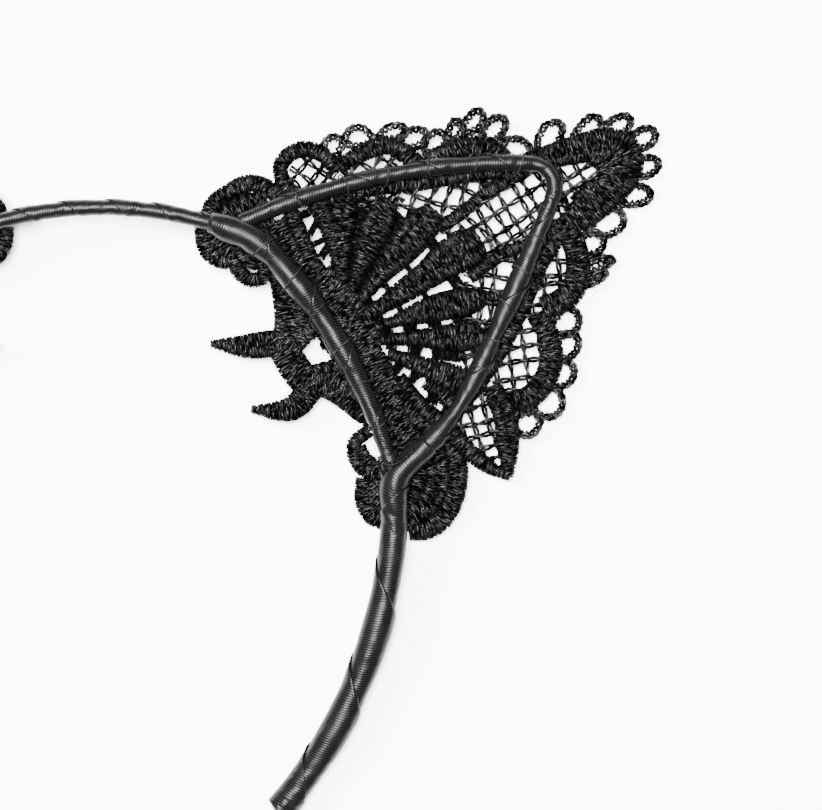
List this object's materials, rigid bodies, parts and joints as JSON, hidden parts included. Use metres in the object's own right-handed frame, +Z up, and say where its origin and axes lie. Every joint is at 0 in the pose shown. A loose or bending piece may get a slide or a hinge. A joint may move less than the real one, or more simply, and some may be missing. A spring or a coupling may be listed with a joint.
{
  "type": "animal ears headband",
  "caption": "Costume headband: a ribbon-wound spring-steel band with bendable wire cat ears backed with black lace.",
  "frame": {"origin": "on the surface that the headband lies on, under the middle of its outline", "axes": "+X to the object's right as it lies on its front, from ear tip to ear tip; +Y from the ends of the arms to the crown; +Z up from the surface, towards the back of the head when worn"},
  "size_m": [0.2292, 0.1486, 0.0122],
  "materials": {
    "satin_ribbon": "black satin ribbon, ribbed across its length",
    "lace": "black guipure lace of embroidered thread",
    "sewing_thread": "black sewing thread",
    "spring_steel": "drawn spring-steel wire",
    "ear_wire_steel": "annealed steel craft wire"
  },
  "bodies": {
    "right_half": {"band_core": "spring_steel", "right_bridge_ribbon": "satin_ribbon", "right_base_ribbon": "satin_ribbon", "right_arm_ribbon": "satin_ribbon", "right_tip_fold": "satin_ribbon", "right_inner_root_wrap": "satin_ribbon", "right_outer_root_wrap": "satin_ribbon", "right_base_lace": "lace", "right_base_stitches": "sewing_thread"},
    "left_half": {"left_bridge_ribbon": "satin_ribbon", "left_base_ribbon": "satin_ribbon", "left_arm_ribbon": "satin_ribbon", "left_tip_fold": "satin_ribbon", "left_inner_root_wrap": "satin_ribbon", "left_outer_root_wrap": "satin_ribbon", "left_base_lace": "lace", "left_base_stitches": "sewing_thread"},
    "right_ear": {"right_ear_wire": "ear_wire_steel", "right_ear_top_ribbon": "satin_ribbon", "right_ear_side_ribbon": "satin_ribbon", "right_ear_lace": "lace", "right_ear_stitches": "sewing_thread"},
    "left_ear": {"left_ear_wire": "ear_wire_steel", "left_ear_top_ribbon": "satin_ribbon", "left_ear_side_ribbon": "satin_ribbon", "left_ear_lace": "lace", "left_ear_stitches": "sewing_thread"}
  },
  "joints": [
    {"name": "band_flex", "type": "hinge", "parent": "right_half", "child": "left_half", "pos_m": [0, 0.05208, 0.00915], "axis": [0, 0.0506, -0.9987], "range_deg": [-4, 16], "stiffness_Nm_per_rad": 1, "deforming": ["band_core"]},
    {"name": "right_ear_tilt", "type": "hinge", "parent": "right_half", "child": "right_ear", "pos_m": [0.04346, 0.0226, 0.00766], "axis": [0.5462, -0.8366, -0.0424], "range_deg": [-15, 15]},
    {"name": "left_ear_tilt", "type": "hinge", "parent": "left_half", "child": "left_ear", "pos_m": [-0.04346, 0.0226, 0.00766], "axis": [0.5462, 0.8366, 0.0424], "range_deg": [-15, 15]}
  ]
}
